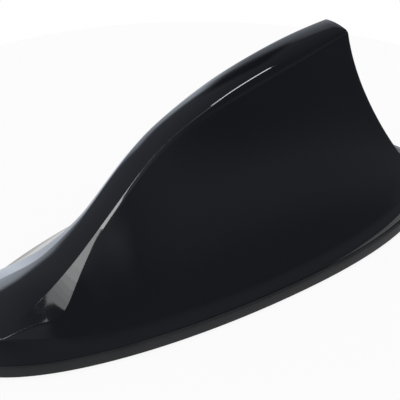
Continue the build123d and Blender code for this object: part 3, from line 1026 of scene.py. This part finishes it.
class FIN_OT_underside(bpy.types.Operator):
    """Finish the base and what lies under it"""

    bl_idname = "fin.underside"
    bl_label = "Base and underside"

    def execute(self, context):
        inside = context.scene.fin.inside
        seal = context.scene.fin.seal
        coat("base_plate", grained_moulding("base_moulding", inside.moulding))
        coat("adhesive_pad", foam("foam_tape", inside.foam_tape, cell=2600.0, depth=0.00012))
        coat("ground_plate", sheet_metal("zinc_sheet", inside.steel, lines=1500.0, roughness=0.38))
        coat("lead_gland", seal_rubber("gland_rubber", scaled(seal.colour, 0.75), seal.roughness))
        coat("base_screws", spangled_metal("zinc_screw", inside.steel, grain=3000.0))
        return {"FINISHED"}


class FIN_OT_electronics(bpy.types.Operator):
    """Finish the boards and the parts on them"""

    bl_idname = "fin.electronics"
    bl_label = "Boards and parts"

    def execute(self, context):
        inside = context.scene.fin.inside
        black = scaled(inside.moulding, 0.8)
        grey = scaled(inside.foam_tape, 0.7)
        bronze = scaled(inside.copper, 0.92)
        coat("circuit_board", solder_mask("mask_flat", inside.mask, upright=False))
        coat("element_board", solder_mask("mask_upright", inside.mask, upright=True))
        coat("element_trace", sheet_metal("copper_foil", inside.copper, lines=2200.0, roughness=0.3))
        coat("element_solder", spangled_metal("solder", inside.tin, grain=2400.0))
        coat("damper_foam", foam("damper_cells", grey, cell=1500.0, depth=0.0003))
        coat("shield_can", sheet_metal("tinned_sheet", inside.tin, lines=1800.0, roughness=0.32))
        coat("amplifier_chip", moulded_package("chip_body", black))
        coat("chip_resistors", moulded_package("resistor_film", scaled(black, 1.8)))
        coat("chip_capacitors", moulded_package("capacitor_body", inside.ceramic))
        coat("choke_coils", moulded_package("ferrite", scaled(inside.foam_tape, 1.1)))
        coat("lead_pins", spangled_metal("tinned_pin", inside.tin, grain=3600.0))
        coat("ground_spring", sheet_metal("bronze_strip", bronze, lines=2600.0, roughness=0.3))
        return {"FINISHED"}


class FIN_OT_stage(bpy.types.Operator):
    """Set up the floor, the light and the camera"""

    bl_idname = "fin.stage"
    bl_label = "Stage"

    def execute(self, context):
        stage = context.scene.fin.stage
        scene = context.scene
        scene.view_settings.view_transform = "Standard"
        self.world(scene, stage)
        self.floor(stage)
        self.tent(stage)
        ends = [start for start, _ in KEY_PANELS[1:]] + [KEY_END]
        for (start, part), end in zip(KEY_PANELS, ends):
            side = KEY_SIDES[1] + KEY_FLARE * max(start - KEY_FLARE_START, 0.0)
            self.lamp(scene, "key_panel", (start, KEY_SIDES[0]), (end, side), part * stage.key)
        self.lamp(scene, "nose_lamp", *NOSE_LAMP, NOSE_LAMP_GAIN * stage.key)
        self.lamp(scene, "strip_lamp", *STRIP_LAMP, stage.strip)
        self.camera(scene, stage)
        return {"FINISHED"}

    @staticmethod
    def seen(finish):
        """One for rays that show the background: from the camera, in a reflection or through glass."""
        rays = [finish.node("ShaderNodeLightPath", out=name) for name in
                ("Is Camera Ray", "Is Glossy Ray", "Is Transmission Ray")]
        return (rays[0] + rays[1] + rays[2]).ramp(0.0, 1.0)

    def world(self, scene, stage):
        """Plain light from all round, and white where the background shows."""
        world = bpy.data.worlds.new("studio")
        scene.world = world
        world.use_nodes = True
        finish = Finish(world.node_tree)
        white = finish.node("ShaderNodeBackground", None, (1.0, 1.0, 1.0), 1.0)
        plain = finish.node("ShaderNodeBackground", None, FILL_TINT, stage.fill)
        shown = finish.node("ShaderNodeMixShader", None, self.seen(finish), plain, white)
        finish.node("ShaderNodeOutputWorld", None, shown)

    def floor(self, stage):
        """Pale disc just under the aerial, seen from above only."""
        bm = bmesh.new()
        bmesh.ops.create_circle(bm, cap_ends=True, segments=96, radius=stage.floor_size)
        bmesh.ops.translate(bm, verts=bm.verts, vec=(0.0, 0.0, -stage.floor_drop))
        material, finish = undressed("pale_floor")
        matt = finish.node("ShaderNodeBsdfDiffuse", None, tuple(stage.floor))
        white = finish.node("ShaderNodeEmission", None, (1.0, 1.0, 1.0), 1.0)
        pale = finish.node("ShaderNodeMixShader", None, self.seen(finish) * (1.0 - stage.shadow), matt, white)
        below = finish.node("ShaderNodeNewGeometry", out="Backfacing")
        clear = finish.node("ShaderNodeBsdfTransparent")
        shown = finish.node("ShaderNodeMixShader", None, below, pale, clear)
        finish.node("ShaderNodeOutputMaterial", None, shown)
        thing = finished(bm, "floor", material, pi)
        if thing.data.polygons[0].normal.z < 0.0:
            thing.data.flip_normals()
        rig.stage(thing)

    @staticmethod
    def tent(stage):
        """A glowing surround of the stage that only reflections show, painting the gloss's reflections: a dim base
        glow, brighter patches and a dark flag.
        """
        bm = bmesh.new()
        bmesh.ops.create_icosphere(bm, subdivisions=4, radius=SURROUND_RADIUS)
        bmesh.ops.reverse_faces(bm, faces=bm.faces)
        material, finish = undressed("studio_cloth")
        place = finish.place()
        dot = {"operation": "DOT_PRODUCT"}
        ways = {}
        for name, way in SURROUND_WAYS.items():
            toward = finish.node("ShaderNodeVectorMath", dot, place, way, out="Value")
            ways[name] = toward / SURROUND_RADIUS
        level = SURROUND_GLOW_BASE
        # Brighter patches painted into the glow, which the gloss shows as painted reflections
        for bright, spans in SURROUND_GLOW_PATCHES:
            for name, low, high in spans:
                bright = ways[name].ramp(low, high) * bright
            level = bright + level
        # A dark flag painted into the glow, darkening its reflection
        flag = SURROUND_FLAG_DEPTH
        for name, low, high in SURROUND_DARK_FLAG:
            flag = ways[name].ramp(low, high) * flag
        level = level * (1 - flag)
        colour = finish.blend(level / SURROUND_GLOW_MOST, (0.0, 0.0, 0.0), tuple(stage.cloth))
        glow = finish.node("ShaderNodeEmission", None, colour, SURROUND_GLOW_MOST)
        finish.node("ShaderNodeOutputMaterial", None, glow)
        thing = finished(bm, "studio_tent", material, pi)
        for ray in ("camera", "diffuse", "transmission", "volume_scatter", "shadow"):
            setattr(thing, "visible_" + ray, False)
        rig.stage(thing)

    @staticmethod
    def lamp(scene, name, low, high, radiance):
        """A soft lamp overhead that fills a rectangle, given by two corners."""
        lamp = bpy.data.lights.new(name, "AREA")
        lamp.shape = "RECTANGLE"
        lamp.size, lamp.size_y = high[0] - low[0], high[1] - low[1]
        lamp.energy = radiance * pi * lamp.size * lamp.size_y
        thing = bpy.data.objects.new(name, lamp)
        thing.location = ((low[0] + high[0]) / 2, (low[1] + high[1]) / 2, LAMP_HEIGHT)
        scene.collection.objects.link(thing)

    @staticmethod
    def camera(scene, stage):
        """The photo's view."""
        lens = bpy.data.cameras.new("photo_view")
        lens.lens = stage.lens
        lens.clip_start = 0.01
        thing = bpy.data.objects.new("photo_view", lens)
        thing.location = EYE
        thing.rotation_euler = Euler([radians(turn) for turn in EYE_TURN])
        scene.collection.objects.link(thing)
        scene.camera = thing


class FIN_PT_panel(bpy.types.Panel):
    """Settings and steps of the aerial"""

    bl_idname = "FIN_PT_panel"
    bl_label = "Fin aerial"
    bl_space_type = "VIEW_3D"
    bl_region_type = "UI"
    bl_category = "Fin aerial"

    def draw(self, context):
        settings = context.scene.fin
        for title, step, group in (
            ("Cover", FIN_OT_cover, settings.cover),
            ("Seal", FIN_OT_seal, settings.seal),
            ("Underside", FIN_OT_underside, None),
            ("Boards", FIN_OT_electronics, settings.inside),
            ("Stage", FIN_OT_stage, settings.stage),
        ):
            part = self.layout.box()
            part.label(text=title)
            for name in group.bl_rna.properties.keys() if group else ():
                if name not in ("rna_type", "name"):
                    part.prop(group, name)
            part.operator(step.bl_idname)


CLASSES = (
    FinCoverSettings,
    FinSealSettings,
    FinInsideSettings,
    FinStageSettings,
    FinSettings,
    FIN_OT_cover,
    FIN_OT_seal,
    FIN_OT_underside,
    FIN_OT_electronics,
    FIN_OT_stage,
    FIN_PT_panel,
)


def register():
    for cls in CLASSES:
        bpy.utils.register_class(cls)
    bpy.types.Scene.fin = PointerProperty(type=FinSettings)


def unregister():
    del bpy.types.Scene.fin
    for cls in reversed(CLASSES):
        bpy.utils.unregister_class(cls)


def main():
    register()
    bpy.ops.fin.cover()
    bpy.ops.fin.seal()
    bpy.ops.fin.underside()
    bpy.ops.fin.electronics()
    bpy.ops.fin.stage()
    with open("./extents.json", "w") as file:
        json.dump({"cad": CAD_BOX, "visual": [list(corner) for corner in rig.bounds()]}, file)


if __name__ == "__main__":
    main()
